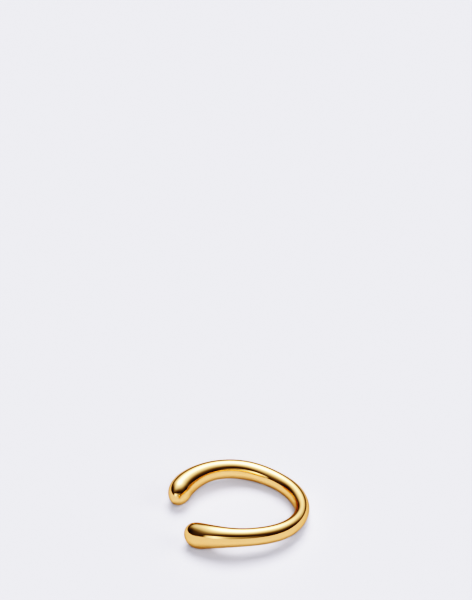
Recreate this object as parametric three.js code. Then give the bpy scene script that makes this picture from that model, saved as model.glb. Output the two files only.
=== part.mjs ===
// An ear cuff: one cast bar of gold-coloured metal, bent into an open C that clips over the edge of the ear.
// The bar is an upright oval in section. It is slimmest at the bend, on the right, and swells to a rounded
// drop at each end, on the left. It lies on its side as it would on a table: both drops and the bend touch
// the surface, and the two arms between them arch clear of it.
// Millimetres, +X from the drops to the bend, +Y from the near arm to the far arm, +Z up. The origin is
// under the middle of the cuff, on the surface.
import * as THREE from "three";
import { mergeVertices } from "three/addons/utils/BufferGeometryUtils.js";

// Driving dimensions
const LINE_LENGTH = 12.4; // span of the bar's centre line, from the drops to the bend
const LINE_DEPTH = 11.0; // span of the centre line, from the near arm to the far arm
const BEND_THICKNESS = 1.5; // of the bar at the bend, seen from above
const NEAR_DROP_THICKNESS = 2.4; // that the near arm swells to, before its tip is rounded
const FAR_DROP_THICKNESS = 2.25; // that the far arm swells to, before its tip is rounded
const SECTION_HEIGHT_RATIO = 1.264; // how much taller than thick the oval section is
const NEAR_ARM_RISE = 1.2; // how far the near arm arches off the surface
const FAR_ARM_RISE = 0.3; // how far the far arm arches off the surface
const TIP_ROUNDING_RATIO = 0.8; // the length over which a tip is rounded, to its thickness there
const ROUNDING_POWER = 2.5; // 2 is an ellipse, and above 2 the rounding runs into the bar without an edge

// How finely the surface is faceted
const FACETS_AROUND = 32;
const RINGS_IN_A_TIP = 12;
const RINGS_BETWEEN = 88;

// The sections that the bar passes through, evenly spaced from the near tip to the far tip, chosen by hand.
// right and back place the centre line, as shares of LINE_LENGTH and LINE_DEPTH. swell goes from 0, the
// bend's thickness, to 1, that of the drop on the same arm. rise is how far the underside stands off the
// surface, as a share of the arm's own rise: it is below 0 at the tips, whose rounding lifts the underside.
const NEAR_ARM = { dropThickness: NEAR_DROP_THICKNESS, fullRise: NEAR_ARM_RISE };
const FAR_ARM = { dropThickness: FAR_DROP_THICKNESS, fullRise: FAR_ARM_RISE };
const SECTIONS = [
  { arm: NEAR_ARM, right: 0.097, back: 0.179, swell: 0.984, rise: -0.615 },
  { arm: NEAR_ARM, right: 0.294, back: 0.048, swell: 0.545, rise: 0.496 },
  { arm: NEAR_ARM, right: 0.539, back: 0.015, swell: 0.069, rise: 0.908 },
  { arm: NEAR_ARM, right: 0.841, back: 0.133, swell: -0.007, rise: 0.631 },
  { arm: NEAR_ARM, right: 1.0, back: 0.393, swell: -0.085, rise: 0.325 },
  { arm: FAR_ARM, right: 0.977, back: 0.652, swell: 0.173, rise: -0.11 },
  { arm: FAR_ARM, right: 0.837, back: 0.854, swell: 0.089, rise: 0.094 },
  { arm: FAR_ARM, right: 0.569, back: 0.994, swell: 0.189, rise: 0.756 },
  { arm: FAR_ARM, right: 0.263, back: 0.938, swell: 0.329, rise: 1.695 },
  { arm: FAR_ARM, right: 0.06, back: 0.753, swell: 0.985, rise: -0.014 },
  { arm: FAR_ARM, right: 0.015, back: 0.575, swell: 0.79, rise: -0.09 },
];
const LAST = SECTIONS.length - 1;

const thicknesses = SECTIONS.map(
  ({ arm, swell }) => BEND_THICKNESS + swell * (arm.dropThickness - BEND_THICKNESS),
);
const heights = thicknesses.map((thickness) => SECTION_HEIGHT_RATIO * thickness);

// Natural cubic spline through values at places 0, 1, 2 and so on: its bending is continuous, as a polished
// bar's is, and dies out at both ends. Returns the value at any place.
function splineThrough(values) {
  const count = values.length;
  const bend = new Array(count).fill(0);
  const carried = new Array(count).fill(0);
  for (let i = 1; i < count - 1; i++) {
    const pivot = 4 - carried[i - 1];
    carried[i] = 1 / pivot;
    const pull = 6 * (values[i - 1] - 2 * values[i] + values[i + 1]);
    bend[i] = (pull - bend[i - 1]) / pivot;
  }
  for (let i = count - 2; i > 0; i--) {
    bend[i] -= carried[i] * bend[i + 1];
  }
  return (place) => {
    const i = Math.min(Math.floor(place), count - 2);
    const b = place - i;
    const a = 1 - b;
    const straight = a * values[i] + b * values[i + 1];
    return straight + ((a ** 3 - a) * bend[i] + (b ** 3 - b) * bend[i + 1]) / 6;
  };
}

// The bar's centre line. Its height is half the bar's height plus the arch of the arm.
class CentreLine extends THREE.Curve {
  constructor() {
    super();
    this.arcLengthDivisions = 2000;
    this.x = splineThrough(SECTIONS.map(({ right }) => right * LINE_LENGTH));
    this.y = splineThrough(SECTIONS.map(({ back }) => back * LINE_DEPTH));
    this.z = splineThrough(
      SECTIONS.map(({ arm, rise }, i) => heights[i] / 2 + rise * arm.fullRise),
    );
  }

  getPoint(t, target = new THREE.Vector3()) {
    const place = t * LAST;
    return target.set(this.x(place), this.y(place), this.z(place));
  }
}

// How much of the full section is left at a distance from a tip, so that the drop closes in a rounded end:
// a superellipse, which is 0 at the tip and 1 where the rounding ends.
function roundedShare(fromTip, roundingLength) {
  if (fromTip >= roundingLength) {
    return 1;
  }
  return Math.sqrt(1 - (1 - fromTip / roundingLength) ** ROUNDING_POWER);
}

// Distances along the bar of the rings of vertices: close together at the tips, where the surface turns
// fast, and even between them.
function ringPlaces(length, nearRounding, farRounding) {
  const places = [];
  for (let i = 0; i < RINGS_IN_A_TIP; i++) {
    places.push(nearRounding * (1 - Math.cos((i / RINGS_IN_A_TIP) * (Math.PI / 2))));
  }
  const between = length - nearRounding - farRounding;
  for (let i = 0; i <= RINGS_BETWEEN; i++) {
    places.push(nearRounding + (i / RINGS_BETWEEN) * between);
  }
  for (let i = RINGS_IN_A_TIP - 1; i >= 0; i--) {
    places.push(length - farRounding * (1 - Math.cos((i / RINGS_IN_A_TIP) * (Math.PI / 2))));
  }
  return places;
}

// The bar: a sphere's net of vertices, pole to pole, laid in rings round the centre line. Each ring is an
// oval, upright across the line.
function barGeometry() {
  const line = new CentreLine();
  const length = line.getLength();
  const nearRounding = TIP_ROUNDING_RATIO * thicknesses[0];
  const farRounding = TIP_ROUNDING_RATIO * thicknesses[LAST];
  const places = ringPlaces(length, nearRounding, farRounding);
  const thicknessAt = splineThrough(thicknesses);
  const heightAt = splineThrough(heights);

  const geometry = new THREE.SphereGeometry(1, FACETS_AROUND, places.length - 1);
  const position = geometry.getAttribute("position");
  const up = new THREE.Vector3(0, 0, 1);
  places.forEach((place, ring) => {
    const t = line.getUtoTmapping(place / length);
    const centre = line.getPoint(t);
    const ahead = line.getTangent(t);
    const side = new THREE.Vector3().crossVectors(ahead, up).normalize();
    const top = new THREE.Vector3().crossVectors(side, ahead);
    const share =
      roundedShare(place, nearRounding) * roundedShare(length - place, farRounding);
    const halfThickness = (share * thicknessAt(t * LAST)) / 2;
    const halfHeight = (share * heightAt(t * LAST)) / 2;
    for (let facet = 0; facet <= FACETS_AROUND; facet++) {
      const turn = (facet / FACETS_AROUND) * 2 * Math.PI;
      const vertex = centre
        .clone()
        .addScaledVector(side, -halfThickness * Math.cos(turn))
        .addScaledVector(top, -halfHeight * Math.sin(turn));
      position.setXYZ(ring * (FACETS_AROUND + 1) + facet, vertex.x, vertex.y, vertex.z);
    }
  });

  // one closed skin: the seam and the poles share their vertices
  geometry.deleteAttribute("normal");
  geometry.deleteAttribute("uv");
  const skin = mergeVertices(geometry, 1e-4);
  skin.computeVertexNormals();
  return skin;
}

// Puts the origin under the middle of a shape, at its lowest point.
function standOnOrigin(geometry) {
  geometry.computeBoundingBox();
  const middle = geometry.boundingBox.getCenter(new THREE.Vector3());
  geometry.translate(-middle.x, -middle.y, -geometry.boundingBox.min.z);
  return geometry;
}

const polishedGold = new THREE.MeshStandardMaterial({
  color: 0xffd69e,
  metalness: 1,
  roughness: 0.07,
});

const cuffBand = new THREE.Mesh(standOnOrigin(barGeometry()), polishedGold);
cuffBand.name = "cuff_band";

const earCuff = new THREE.Group();
earCuff.add(cuffBand);

export default earCuff;
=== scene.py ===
import math

import bpy
import numpy as np
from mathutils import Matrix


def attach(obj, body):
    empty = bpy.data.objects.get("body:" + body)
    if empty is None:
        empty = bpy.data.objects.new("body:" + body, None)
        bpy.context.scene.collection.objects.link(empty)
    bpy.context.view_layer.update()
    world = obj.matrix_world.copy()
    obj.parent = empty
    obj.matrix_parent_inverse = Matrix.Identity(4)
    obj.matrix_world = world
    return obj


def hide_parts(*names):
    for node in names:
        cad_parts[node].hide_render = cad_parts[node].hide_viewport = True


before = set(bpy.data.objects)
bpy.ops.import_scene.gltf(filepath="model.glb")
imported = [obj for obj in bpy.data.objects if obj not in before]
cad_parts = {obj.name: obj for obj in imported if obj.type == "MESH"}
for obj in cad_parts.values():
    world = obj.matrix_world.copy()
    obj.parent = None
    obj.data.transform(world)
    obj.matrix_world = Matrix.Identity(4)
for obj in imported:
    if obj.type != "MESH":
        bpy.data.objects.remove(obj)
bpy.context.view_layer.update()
scene = bpy.context.scene


# Camera. A long lens, as for a close view of jewellery, looking down on the open side of the cuff. The cuff
# lies low in the tall picture, with clear floor above it. Metres, and degrees from the level.
CAMERA_PLACE = (-0.000262, -0.221296, 0.200800)
CAMERA_LOOKS_DOWN = 38.111
CAMERA_LENS = 180.77
SENSOR_LONG_SIDE = 36.0

camera_data = bpy.data.cameras.new("camera")
camera_data.lens = CAMERA_LENS
camera_data.sensor_width = SENSOR_LONG_SIDE
camera_data.clip_start = 0.01
camera_data.clip_end = 50.0
camera = bpy.data.objects.new("camera", camera_data)
camera.location = CAMERA_PLACE
camera.rotation_euler = (math.radians(90.0 - CAMERA_LOOKS_DOWN), 0.0, 0.0)
scene.collection.objects.link(camera)
scene.camera = camera


# Cuff band. The whole cuff is one casting in brass, gold plated and polished to a mirror. Its bar is an
# upright oval, slimmest at the bend and swelling to a drop at each open end, and its two arms arch off the
# surface between the drops and the bend. Metres.
LINE_LENGTH = 0.0124
LINE_DEPTH = 0.0110
BEND_THICKNESS = 0.0015
NEAR_DROP_THICKNESS = 0.0024
FAR_DROP_THICKNESS = 0.00225
SECTION_HEIGHT_RATIO = 1.264
NEAR_ARM_RISE = 0.0012
FAR_ARM_RISE = 0.0003
TIP_ROUNDING_RATIO = 0.8
ROUNDING_POWER = 2.5
FACETS_AROUND = 144
RINGS_IN_A_TIP = 60
RINGS_BETWEEN = 420
WALK_STEPS = 20000
SLOPE_STEP = 1e-4

# The sections that the bar passes through, evenly spaced from the near tip to the far tip. The columns are 1
# on the near arm or 0 on the far arm, right and back as shares of the line's two spans, swell as a share of
# the way from the bend's thickness to the drop's, and the underside's rise in the arm's own rises.
SECTIONS = np.array([
    (1, 0.097, 0.179, 0.984, -0.615),
    (1, 0.294, 0.048, 0.545, 0.496),
    (1, 0.539, 0.015, 0.069, 0.908),
    (1, 0.841, 0.133, -0.007, 0.631),
    (1, 1.000, 0.393, -0.085, 0.325),
    (0, 0.977, 0.652, 0.173, -0.110),
    (0, 0.837, 0.854, 0.089, 0.094),
    (0, 0.569, 0.994, 0.189, 0.756),
    (0, 0.263, 0.938, 0.329, 1.695),
    (0, 0.060, 0.753, 0.985, -0.014),
    (0, 0.015, 0.575, 0.790, -0.090),
])


def spline(values, places):
    """Natural cubic spline through values at places 0, 1, 2 and so on, read at the given places. Between two
    values it is the straight line from one to the other, plus a sixth of the bending at each of them times
    the cube of its share of the way less that share. The bending is 0 at both ends, and is found so that
    the slope never jumps."""
    count = len(values)
    inner = np.arange(1, count - 1)
    matrix = np.eye(count)
    matrix[inner, inner - 1] = 1.0
    matrix[inner, inner] = 4.0
    matrix[inner, inner + 1] = 1.0
    pull = np.zeros(count)
    pull[inner] = 6.0 * (values[inner - 1] - 2.0 * values[inner] + values[inner + 1])
    bending = np.linalg.solve(matrix, pull)
    start = np.clip(np.floor(places).astype(int), 0, count - 2)
    gone = places - start
    left = 1.0 - gone
    straight = left * values[start] + gone * values[start + 1]
    bent = (left**3 - left) * bending[start] + (gone**3 - gone) * bending[start + 1]
    return straight + bent / 6.0


def unit(vectors):
    """Each vector divided by its own length."""
    return vectors / np.linalg.norm(vectors, axis=-1, keepdims=True)


def bar_grid():
    """The bar's skin as a grid of points, rings along the bar by facets around it. A point is the centre
    line's point at the ring, plus the cosine of the turn times half the thickness to the side, plus the sine
    of the turn times half the height to the top, both times the share of the full section that the rounded
    tips leave there: the square root of 1 less the 2.5th power of how far into the rounding the ring is."""
    near, right, back, swell, rise = SECTIONS.T
    drop = np.where(near == 1, NEAR_DROP_THICKNESS, FAR_DROP_THICKNESS)
    arm_rise = np.where(near == 1, NEAR_ARM_RISE, FAR_ARM_RISE)
    thickness = BEND_THICKNESS + swell * (drop - BEND_THICKNESS)
    height = SECTION_HEIGHT_RATIO * thickness
    line = (right * LINE_LENGTH, back * LINE_DEPTH, height / 2.0 + rise * arm_rise)

    # the centre line, walked finely enough to measure distances along it
    walk = np.linspace(0.0, len(SECTIONS) - 1.0, WALK_STEPS + 1)
    track = np.stack([spline(values, walk) for values in line], axis=1)
    gone = np.concatenate([[0.0], np.cumsum(np.linalg.norm(np.diff(track, axis=0), axis=1))])

    # rings crowd at the tips, where the surface turns fast, and are even between them
    near_rounding = TIP_ROUNDING_RATIO * thickness[0]
    far_rounding = TIP_ROUNDING_RATIO * thickness[-1]
    crowd = 1.0 - np.cos(np.linspace(0.0, np.pi / 2.0, RINGS_IN_A_TIP + 1))[1:-1]
    between = np.linspace(near_rounding, gone[-1] - far_rounding, RINGS_BETWEEN + 1)
    reach = np.concatenate([near_rounding * crowd, between, gone[-1] - far_rounding * crowd[::-1]])
    place = np.interp(reach, gone, walk)

    # at each ring, the line's point and the three directions of the section
    centre = np.stack([spline(values, place) for values in line], axis=1)
    before = np.stack([spline(values, place - SLOPE_STEP) for values in line], axis=1)
    after = np.stack([spline(values, place + SLOPE_STEP) for values in line], axis=1)
    ahead = unit(after - before)
    side = unit(np.cross(ahead, (0.0, 0.0, 1.0)))
    top = np.cross(side, ahead)

    # how much of the full section the rounded tips leave
    share = np.ones(len(reach))
    for from_tip, rounding in ((reach, near_rounding), (gone[-1] - reach, far_rounding)):
        into = np.clip(1.0 - from_tip / rounding, 0.0, 1.0)
        share = share * np.sqrt(1.0 - into**ROUNDING_POWER)
    half_thickness = share * spline(thickness, place) / 2.0
    half_height = share * spline(height, place) / 2.0

    turn = np.arange(FACETS_AROUND) * 2.0 * np.pi / FACETS_AROUND
    across = (half_thickness[:, None] * np.cos(turn))[..., None] * side[:, None]
    upward = (half_height[:, None] * np.sin(turn))[..., None] * top[:, None]
    grid = centre[:, None] + across + upward
    ends = np.array([0.0, len(SECTIONS) - 1.0])
    tips = np.stack([spline(values, ends) for values in line], axis=1)
    return grid, tips, reach / gone[-1]


def bar_mesh(name):
    """The grid's rings joined by four-sided faces, closed by a fan of triangles at each tip, then moved so
    that the origin is under the middle of its box, at its lowest point. Its UV map runs along the bar and
    around it."""
    grid, tips, along = bar_grid()
    rings, facets, _ = grid.shape
    points = np.concatenate([grid.reshape(-1, 3), tips])
    low, high = points.min(axis=0), points.max(axis=0)
    points = points - ((low[0] + high[0]) / 2.0, (low[1] + high[1]) / 2.0, low[2])

    ring, facet = np.meshgrid(np.arange(rings - 1), np.arange(facets), indexing="ij")
    following = (facet + 1) % facets
    corners = (
        ring * facets + facet,
        ring * facets + following,
        (ring + 1) * facets + following,
        (ring + 1) * facets + facet,
    )
    quads = np.stack(corners, axis=-1).reshape(-1, 4)
    edge = np.arange(facets)
    turned = (edge + 1) % facets
    near_pole = np.full(facets, rings * facets)
    far_pole = near_pole + 1
    last = (rings - 1) * facets
    near_fan = np.stack([near_pole, turned, edge], axis=1)
    far_fan = np.stack([far_pole, last + edge, last + turned], axis=1)

    mesh = bpy.data.meshes.new(name)
    mesh.from_pydata(points.tolist(), [], quads.tolist() + near_fan.tolist() + far_fan.tolist())

    # the UV map: u runs from 0 at the near tip to 1 at the far tip, v from 0 to 1 around the bar
    u_quad = np.stack([along[ring], along[ring], along[ring + 1], along[ring + 1]], axis=-1)
    v_quad = np.stack([facet, facet + 1, facet + 1, facet], axis=-1) / facets
    fan_v = np.stack([edge + 0.5, edge + 1.0, edge], axis=1) / facets
    near_u = np.repeat([[0.0, along[0], along[0]]], facets, axis=0)
    far_u = np.repeat([[1.0, along[-1], along[-1]]], facets, axis=0)
    far_v = fan_v[:, [0, 2, 1]]
    u_all = np.concatenate([u_quad.ravel(), near_u.ravel(), far_u.ravel()])
    v_all = np.concatenate([v_quad.ravel(), fan_v.ravel(), far_v.ravel()])
    layer = mesh.uv_layers.new(name="bar")
    layer.data.foreach_set("uv", np.stack([u_all, v_all], axis=1).ravel())
    mesh.shade_smooth()
    return mesh


cuff = bpy.data.objects.new("polished_cuff", bar_mesh("polished_cuff"))
scene.collection.objects.link(cuff)

# the gold's colours, its polish as a roughness, and the depths of its marks in metres
PLATING_THINNER = (1.0, 0.655, 0.325, 1.0)
PLATING_RICHER = (1.0, 0.685, 0.355, 1.0)
GOLD_AT_THE_RIM = (0.62, 0.50, 0.40, 1.0)
CLEAREST_POLISH = 0.045
CLOUDIEST_POLISH = 0.085
WHEEL_SWELL_DEPTH = 0.0000035
HAIRLINE_DEPTH = 0.0000002
HAIRLINES_ALONG_AND_AROUND = (9.0, 70.0, 1.0)

gold = bpy.data.materials.new("polished_gold")
gold.use_nodes = True
tree = gold.node_tree
shader = tree.nodes["Principled BSDF"]
shader.inputs["Metallic"].default_value = 1.0
shader.inputs["Specular Tint"].default_value = GOLD_AT_THE_RIM
surface_place = tree.nodes.new("ShaderNodeTexCoord")


def tree_node(kind, **inputs):
    """A node in the gold's tree, its named inputs given as a number or as a socket to join."""
    node = tree.nodes.new(kind)
    for name, value in inputs.items():
        socket = node.inputs[name]
        if isinstance(value, bpy.types.NodeSocket):
            tree.links.new(value, socket)
        else:
            socket.default_value = value
    return node


def patches(scale, detail, roughness):
    """Smooth random patches on Object coordinates, around 0.5: so many to the metre, so many finer layers,
    and how strong each layer is beside the last."""
    noise = tree_node(
        "ShaderNodeTexNoise",
        Vector=surface_place.outputs["Object"], Scale=scale, Detail=detail, Roughness=roughness,
    )
    return noise.outputs["Fac"]


def ranged(value, low, high):
    """Moves patches, which mostly lie from 0.3 to 0.7, into another range and stops them there."""
    node = tree_node("ShaderNodeMapRange", Value=value)
    node.inputs["From Min"].default_value = 0.3
    node.inputs["From Max"].default_value = 0.7
    node.inputs["To Min"].default_value = low
    node.inputs["To Max"].default_value = high
    return node.outputs["Result"]


# the plating: thinner and a touch redder in patches a few millimetres wide, richer in others
plating = tree.nodes.new("ShaderNodeMix")
plating.data_type = "RGBA"
plating.inputs[6].default_value = PLATING_THINNER
plating.inputs[7].default_value = PLATING_RICHER
richness = ranged(patches(scale=420.0, detail=2.0, roughness=0.5), 0.0, 1.0)
tree.links.new(richness, plating.inputs[0])
tree.links.new(plating.outputs[2], shader.inputs["Base Color"])

# the polish: a mirror, very slightly cloudier in patches where the wheel and fingers have left a haze
haze = ranged(patches(scale=900.0, detail=5.0, roughness=0.6), CLEAREST_POLISH, CLOUDIEST_POLISH)
tree.links.new(haze, shader.inputs["Roughness"])

# the hand-finished skin: a slow swell left by the wheel, and hairlines along the bar from wiping. The
# hairlines are noise drawn out about forty times along the bar on its own UV map.
bar_place = tree_node("ShaderNodeUVMap")
bar_place.uv_map = "bar"
drawn_out = tree_node("ShaderNodeMapping", Vector=bar_place.outputs["UV"])
drawn_out.inputs["Scale"].default_value = HAIRLINES_ALONG_AND_AROUND
hairs = tree_node(
    "ShaderNodeTexNoise",
    Vector=drawn_out.outputs["Vector"], Scale=6.0, Detail=3.0, Roughness=0.7,
)
wheel_marks = patches(scale=520.0, detail=1.0, roughness=0.4)
swell = tree_node("ShaderNodeBump", Strength=1.0, Distance=WHEEL_SWELL_DEPTH, Height=wheel_marks)
fine = tree_node(
    "ShaderNodeBump",
    Strength=1.0, Distance=HAIRLINE_DEPTH, Height=hairs.outputs["Fac"], Normal=swell.outputs["Normal"],
)
tree.links.new(fine.outputs["Normal"], shader.inputs["Normal"])
cuff.data.materials.append(gold)

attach(cuff, "root")
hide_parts("cuff_band")


# Floor. A plain pale board, very slightly lavender, matte and without grain, wide enough to fill every view.
# The metal mirrors it slightly warmer, as in the photograph. Light that goes from it to the metal and back is
# kept neutral by a colour against the metal's own.
FLOOR_HALF = 4.0
FLOOR_COLOUR = (0.50, 0.50, 0.557)
# The floor's colour where the metal mirrors it is painted warm bounce light: warmer than the lit floor, it
# stands in for the gold light that the metal throws on to the floor.
FLOOR_IN_METAL_PAINTED_WARM = (0.465, 0.42, 0.405)
FLOOR_THROWN_BACK = (0.8, 1.12, 2.05)


def calculate(tree, operation, first, second=None, third=None):
    """One arithmetic step on sockets or plain numbers."""
    node = tree.nodes.new("ShaderNodeMath")
    node.operation = operation
    for socket, value in zip(node.inputs, (first, second, third)):
        if value is None:
            continue
        if isinstance(value, (int, float)):
            socket.default_value = value
        else:
            tree.links.new(value, socket)
    return node.outputs[0]


def choose(tree, share, first, second):
    """The first colour where the share is 0, the second where it is 1."""
    node = tree.nodes.new("ShaderNodeMix")
    node.data_type = "RGBA"
    tree.links.new(share, node.inputs[0])
    for socket, colour in ((node.inputs[6], first), (node.inputs[7], second)):
        if isinstance(colour, tuple):
            socket.default_value = (*colour, 1.0)
        else:
            tree.links.new(colour, socket)
    return node.outputs[2]


floor_mesh = bpy.data.meshes.new("floor")
floor_corners = [
    (-FLOOR_HALF, -FLOOR_HALF, 0.0),
    (FLOOR_HALF, -FLOOR_HALF, 0.0),
    (FLOOR_HALF, FLOOR_HALF, 0.0),
    (-FLOOR_HALF, FLOOR_HALF, 0.0),
]
floor_mesh.from_pydata(floor_corners, [], [(0, 1, 2, 3)])
floor = bpy.data.objects.new("floor", floor_mesh)
scene.collection.objects.link(floor)

board = bpy.data.materials.new("pale_board_with_painted_bounce")
board.use_nodes = True
board_tree = board.node_tree
board_shader = board_tree.nodes["Principled BSDF"]
board_rays = board_tree.nodes.new("ShaderNodeLightPath")
board_from_floor = calculate(board_tree, "GREATER_THAN", board_rays.outputs["Diffuse Depth"], 0.5)
# painted warm bounce: the board takes a warmer colour only in glossy rays, so the metal mirrors it warmer
# than it is lit, and a colour against the metal's own for light that comes back from the metal
board_in_metal_painted_tints = choose(board_tree, board_from_floor, FLOOR_IN_METAL_PAINTED_WARM, FLOOR_THROWN_BACK)
board_colour = choose(board_tree, board_rays.outputs["Is Glossy Ray"], FLOOR_COLOUR, board_in_metal_painted_tints)
board_tree.links.new(board_colour, board_shader.inputs["Base Color"])
board_shader.inputs["Roughness"].default_value = 1.0
board_shader.inputs["Specular IOR Level"].default_value = 0.0
floor_mesh.materials.append(board)


# Studio light. One large round softbox hangs over and behind the cuff, brightest in its middle, in a dim
# room, and a white card stands low in front, brightest at the left. The metal mirrors all three. Soft lamps
# that it doesn't mirror light the floor.

# Directions are two angles in degrees: over, from 0 at the level in front, through 90 overhead, to 180 at the
# level behind, and aside, from -90 at the left to 90 at the right. A level is a brightness, and each pair in
# a list is an angle and the level there. A place with a blur fades in from that much before it to that much
# past it.
SOFTBOX_OVER = 111.0
SOFTBOX_ASIDE = 2.7
SOFTBOX_LEAN = 0.10
SOFTBOX_SHORTER_LEFT = 1.12
SOFTBOX_LEVELS = [
    (0.0, 4.2), (12.0, 4.0), (22.0, 2.6), (31.0, 1.55), (40.0, 1.08), (50.0, 0.76),
    (60.0, 0.35), (70.0, 0.15), (80.0, 0.09), (100.0, 0.04),
]
BEHIND_OVER = 160.0
BEHIND_BLUR = 12.0
BEHIND_LEVEL = 0.11
CARD_TOP = 22.5
CARD_TOP_BLUR = 2.0
CARD_LEFT = -47.0
CARD_RIGHT = 41.0
CARD_SIDE_BLUR = 5.0
CARD_LEVELS = [
    (-42.0, 1.05), (-28.0, 1.8), (-12.0, 0.94), (0.0, 0.56), (12.0, 0.40), (25.0, 0.26), (40.0, 0.10),
]

world = bpy.data.worlds.new("studio")
scene.world = world
world.use_nodes = True
sky = world.node_tree
sky.nodes.clear()


def past(tree, value, place, blur):
    """0 before a place and 1 past it, with a soft step from one to the other over the blur on each side."""
    node = tree.nodes.new("ShaderNodeMapRange")
    node.interpolation_type = "SMOOTHSTEP"
    tree.links.new(value, node.inputs["Value"])
    node.inputs["From Min"].default_value = place - blur
    node.inputs["From Max"].default_value = place + blur
    return node.outputs["Result"]


def levels_along(tree, value, stops):
    """A brightness that runs straight from stop to stop along a value: each stop is a place and a level."""
    start, end = stops[0][0], stops[-1][0]
    node = tree.nodes.new("ShaderNodeValToRGB")
    share = calculate(tree, "DIVIDE", calculate(tree, "SUBTRACT", value, start), end - start)
    tree.links.new(share, node.inputs[0])
    elements = node.color_ramp.elements
    while len(elements) < len(stops):
        elements.new(0.5)
    for element, (place, level) in zip(elements, stops):
        element.position = (place - start) / (end - start)
        element.color = (level, level, level, 1.0)
    return node.outputs["Color"]


def between(tree, share, first, second):
    """The first level where the share is 0, the second where it is 1."""
    kept = calculate(tree, "MULTIPLY", first, calculate(tree, "SUBTRACT", 1.0, share))
    return calculate(tree, "MULTIPLY_ADD", second, share, kept)


direction = sky.nodes.new("ShaderNodeTexCoord")
parts = sky.nodes.new("ShaderNodeSeparateXYZ")
sky.links.new(direction.outputs["Generated"], parts.inputs[0])
to_right, to_back, to_top = parts.outputs
to_front = calculate(sky, "MULTIPLY", to_back, -1.0)
over = calculate(sky, "DEGREES", calculate(sky, "ARCTAN2", to_top, to_front))
aside = calculate(sky, "DEGREES", calculate(sky, "ARCSINE", to_right))

# how far a direction is from the middle of the softbox, in degrees, counted as further at its left, which
# makes it shorter there. Its front leans to the left.
turned = calculate(sky, "SUBTRACT", over, SOFTBOX_OVER)
leant = calculate(sky, "MULTIPLY", calculate(sky, "MINIMUM", turned, 0.0), SOFTBOX_LEAN)
turned = calculate(sky, "MULTIPLY", turned, calculate(sky, "COSINE", calculate(sky, "RADIANS", aside)))
shifted = calculate(sky, "SUBTRACT", calculate(sky, "SUBTRACT", aside, SOFTBOX_ASIDE), leant)
shifted = calculate(sky, "MAXIMUM", shifted, calculate(sky, "MULTIPLY", shifted, -SOFTBOX_SHORTER_LEFT))
squares = calculate(sky, "MULTIPLY_ADD", turned, turned, calculate(sky, "MULTIPLY", shifted, shifted))
softbox = levels_along(sky, calculate(sky, "SQRT", squares), SOFTBOX_LEVELS)

# the dim room behind it, and the card
behind = past(sky, over, BEHIND_OVER, BEHIND_BLUR)
room = between(sky, behind, softbox, BEHIND_LEVEL)
card = levels_along(sky, aside, CARD_LEVELS)
below_top = calculate(sky, "SUBTRACT", 1.0, past(sky, over, CARD_TOP, CARD_TOP_BLUR))
past_left = past(sky, aside, CARD_LEFT, CARD_SIDE_BLUR)
before_right = calculate(sky, "SUBTRACT", 1.0, past(sky, aside, CARD_RIGHT, CARD_SIDE_BLUR))
on_card = calculate(sky, "MULTIPLY", below_top, past_left)
on_card = calculate(sky, "MULTIPLY", on_card, before_right)
studio = between(sky, on_card, room, card)

# Past the floor's edge the camera sees a pale backdrop. The floor is lit by the lamps below and a little by
# the room. The light that the metal throws on to it is kept neutral, as it is in a product photograph: where
# the metal is seen from the floor, the room is tinted against the metal's own colour.
BACKDROP_COLOUR = (1.076, 1.076, 1.20)
ROOM_ON_FLOOR = (0.20, 0.20, 0.20)
THROWN_BY_METAL = (1.9, 2.7, 5.1)

rays = sky.nodes.new("ShaderNodeLightPath")
from_floor = calculate(sky, "GREATER_THAN", rays.outputs["Diffuse Depth"], 0.5)
mirrored = choose(sky, from_floor, studio, THROWN_BY_METAL)
unmirrored = choose(sky, rays.outputs["Is Camera Ray"], ROOM_ON_FLOOR, BACKDROP_COLOUR)
seen = choose(sky, rays.outputs["Is Glossy Ray"], unmirrored, mirrored)
background = sky.nodes.new("ShaderNodeBackground")
sky.links.new(seen, background.inputs["Color"])
world_output = sky.nodes.new("ShaderNodeOutputWorld")
sky.links.new(background.outputs[0], world_output.inputs[0])


def lamp(name, tilt, azimuth, width, strength):
    """A far, soft lamp: its tilt from straight overhead, its azimuth from the right round by the back, and
    how wide it looks, all in degrees, and its strength. The metal doesn't mirror it."""
    light = bpy.data.lights.new(name, "SUN")
    light.energy = strength * math.pi
    light.angle = math.radians(width)
    stand = bpy.data.objects.new(name, light)
    stand.rotation_euler = (0.0, math.radians(tilt), math.radians(azimuth))
    stand.visible_glossy = False
    scene.collection.objects.link(stand)


lamp("key_light", tilt=22.0, azimuth=84.0, width=42.0, strength=1.38)
lamp("front_fill", tilt=42.0, azimuth=270.0, width=30.0, strength=0.60)
lamp("side_fill", tilt=54.0, azimuth=350.0, width=36.0, strength=0.36)


# Print. The picture's tones, as a product photograph is printed: contrast in the darks, an even middle, and
# an easy run up to white in the brightest reflections. Each pair is light in the scene and on the print.
TONES = [
    (0.0, 0.0), (0.06, 0.004), (0.10, 0.020), (0.15, 0.063), (0.20, 0.125), (0.27, 0.219), (0.36, 0.343),
    (0.46, 0.451), (0.60, 0.581), (0.76, 0.703), (0.95, 0.805), (1.20, 0.888), (1.60, 0.945), (2.20, 0.971),
    (4.50, 1.0),
]
WHITEST = TONES[-1][0]
view = scene.view_settings
view.view_transform = "Standard"
view.use_curve_mapping = True
curves = view.curve_mapping
curves.white_level = (WHITEST, WHITEST, WHITEST)
tone = curves.curves[3]
while len(tone.points) < len(TONES):
    tone.points.new(0.5, 0.5)
for point, (light, printed) in zip(tone.points, TONES):
    point.location = (light / WHITEST, printed)
    point.handle_type = "AUTO_CLAMPED"
curves.update()
